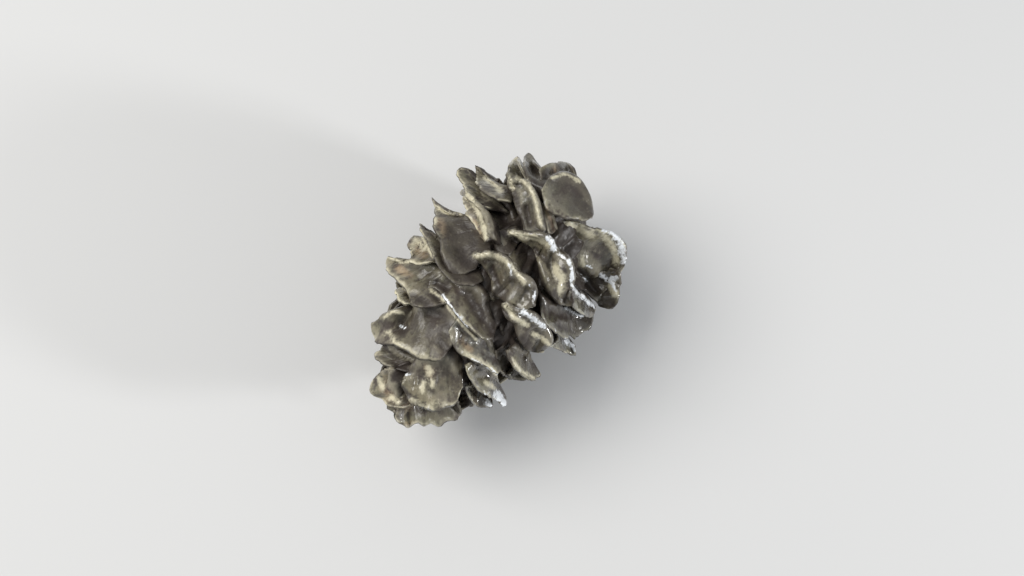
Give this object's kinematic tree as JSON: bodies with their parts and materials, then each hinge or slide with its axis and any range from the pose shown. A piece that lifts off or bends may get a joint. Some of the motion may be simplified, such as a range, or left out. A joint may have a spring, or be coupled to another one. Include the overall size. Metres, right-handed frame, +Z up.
{
  "type": "pine cone",
  "caption": "Open, weathered pine cone lying on its side, with woody scales spiralling round a hidden core.",
  "frame": {"origin": "middle of the cone's bounding box on the surface that it lies on", "axes": "+Z up, +X along the cone from its tip towards the stalk end, +Y across it"},
  "size_m": [0.0754, 0.0508, 0.0473],
  "materials": {
    "weathered_cone": "weathered, grey-brown, slightly damp"
  },
  "bodies": {
    "root": {"pine_cone": "weathered_cone"}
  },
  "joints": []
}
